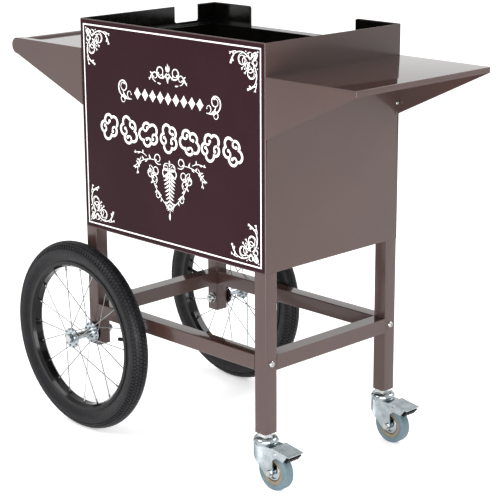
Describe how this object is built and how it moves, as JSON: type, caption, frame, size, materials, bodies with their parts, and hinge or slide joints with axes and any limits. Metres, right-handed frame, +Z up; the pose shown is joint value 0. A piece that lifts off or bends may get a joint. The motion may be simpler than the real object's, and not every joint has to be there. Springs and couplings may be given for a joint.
{
  "type": "popcorn cart",
  "caption": "Wheeled serving cart with an open-topped cabinet that carries a popcorn machine, side shelves, a push bar, spoked wheels and braked casters.",
  "frame": {"origin": "on the floor, under the middle of the cabinet; the middle of the whole cart's box lies 6 mm further towards -X", "axes": "+Z up, +X towards the casters, -X towards the push bar, -Y the decorated front"},
  "size_m": [0.9671, 0.5088, 0.8505],
  "materials": {
    "cabinet_paint": "glossy taupe-brown powder coat",
    "well_black": "satin black powder coat",
    "graphic_film": "glossy printed film",
    "zinc": "bright zinc plating",
    "fastener": "zinc-plated steel",
    "spoke_steel": "polished wire",
    "rim_black": "gloss black enamel",
    "tyre_rubber": "moulded rubber",
    "tube_rubber": "butyl rubber",
    "black_plastic": "moulded plastic",
    "bearing_steel": "ground steel",
    "caster_rubber": "grey-blue thermoplastic rubber",
    "caster_core": "tan moulded plastic",
    "knob_plastic": "black phenolic"
  },
  "bodies": {
    "cart": {"cabinet_shell": "cabinet_paint", "back_panel": "cabinet_paint", "cabinet_floor": "well_black", "well_ledge": "well_black", "front_graphic": "graphic_film", "right_shelf": "cabinet_paint", "left_shelf": "cabinet_paint", "handle_bar": "cabinet_paint", "right_leg_frame": "cabinet_paint", "left_leg_frame": "cabinet_paint", "front_rail": "cabinet_paint", "rear_rail": "cabinet_paint", "shelf_screws": "fastener", "seam_screws": "fastener", "rail_bolts": "fastener", "leg_bolts": "fastener", "hinge_plates": "zinc", "hinge_pins": "fastener", "door_catch": "black_plastic", "axle_bolts": "fastener", "axle_spacers": "black_plastic", "axle_washers": "fastener", "axle_nuts": "fastener", "caster_stems": "fastener", "caster_nuts": "fastener"},
    "door": {"door_panel": "cabinet_paint", "door_knob": "knob_plastic", "door_hinge_leaves": "zinc"},
    "front_wheel": {"front_tyre": "tyre_rubber", "front_inner_tube": "tube_rubber", "front_rim": "rim_black", "front_spokes": "spoke_steel", "front_nipples": "spoke_steel", "front_hub": "zinc", "front_hub_bearings": "bearing_steel", "front_valve": "black_plastic"},
    "rear_wheel": {"rear_tyre": "tyre_rubber", "rear_inner_tube": "tube_rubber", "rear_rim": "rim_black", "rear_spokes": "spoke_steel", "rear_nipples": "spoke_steel", "rear_hub": "zinc", "rear_hub_bearings": "bearing_steel", "rear_valve": "black_plastic"},
    "front_caster_swivel": {"front_caster_fork": "zinc", "front_caster_axle": "fastener"},
    "front_caster_wheel": {"front_caster_tread": "caster_rubber", "front_caster_core": "caster_core", "front_caster_hub": "zinc"},
    "front_caster_brake": {"front_caster_pedal": "zinc", "front_caster_grip": "black_plastic", "front_caster_pedal_pin": "fastener"},
    "rear_caster_swivel": {"rear_caster_fork": "zinc", "rear_caster_axle": "fastener"},
    "rear_caster_wheel": {"rear_caster_tread": "caster_rubber", "rear_caster_core": "caster_core", "rear_caster_hub": "zinc"},
    "rear_caster_brake": {"rear_caster_pedal": "zinc", "rear_caster_grip": "black_plastic", "rear_caster_pedal_pin": "fastener"}
  },
  "joints": [
    {"name": "door_hinge", "type": "hinge", "parent": "cart", "child": "door", "pos_m": [-0.2044, 0.19, 0.61], "axis": [0, 0, 1], "range_deg": [0, 110]},
    {"name": "front_wheel_spin", "type": "hinge", "parent": "cart", "child": "front_wheel", "pos_m": [-0.245, -0.218, 0.199], "axis": [0, 1, 0], "continuous": true},
    {"name": "rear_wheel_spin", "type": "hinge", "parent": "cart", "child": "rear_wheel", "pos_m": [-0.245, 0.218, 0.199], "axis": [0, 1, 0], "continuous": true},
    {"name": "front_caster_turn", "type": "hinge", "parent": "cart", "child": "front_caster_swivel", "pos_m": [0.245, -0.169, 0.09], "axis": [0, 0, 1], "continuous": true},
    {"name": "front_caster_roll", "type": "hinge", "parent": "front_caster_swivel", "child": "front_caster_wheel", "pos_m": [0.272, -0.169, 0.0375], "axis": [0, 1, 0], "continuous": true},
    {"name": "front_caster_brake_press", "type": "hinge", "parent": "front_caster_swivel", "child": "front_caster_brake", "pos_m": [0.288, -0.169, 0.08], "axis": [0, 1, 0], "range_deg": [0, 12]},
    {"name": "rear_caster_turn", "type": "hinge", "parent": "cart", "child": "rear_caster_swivel", "pos_m": [0.245, 0.169, 0.09], "axis": [0, 0, 1], "continuous": true},
    {"name": "rear_caster_roll", "type": "hinge", "parent": "rear_caster_swivel", "child": "rear_caster_wheel", "pos_m": [0.272, 0.169, 0.0375], "axis": [0, 1, 0], "continuous": true},
    {"name": "rear_caster_brake_press", "type": "hinge", "parent": "rear_caster_swivel", "child": "rear_caster_brake", "pos_m": [0.288, 0.169, 0.08], "axis": [0, 1, 0], "range_deg": [0, 12]}
  ]
}
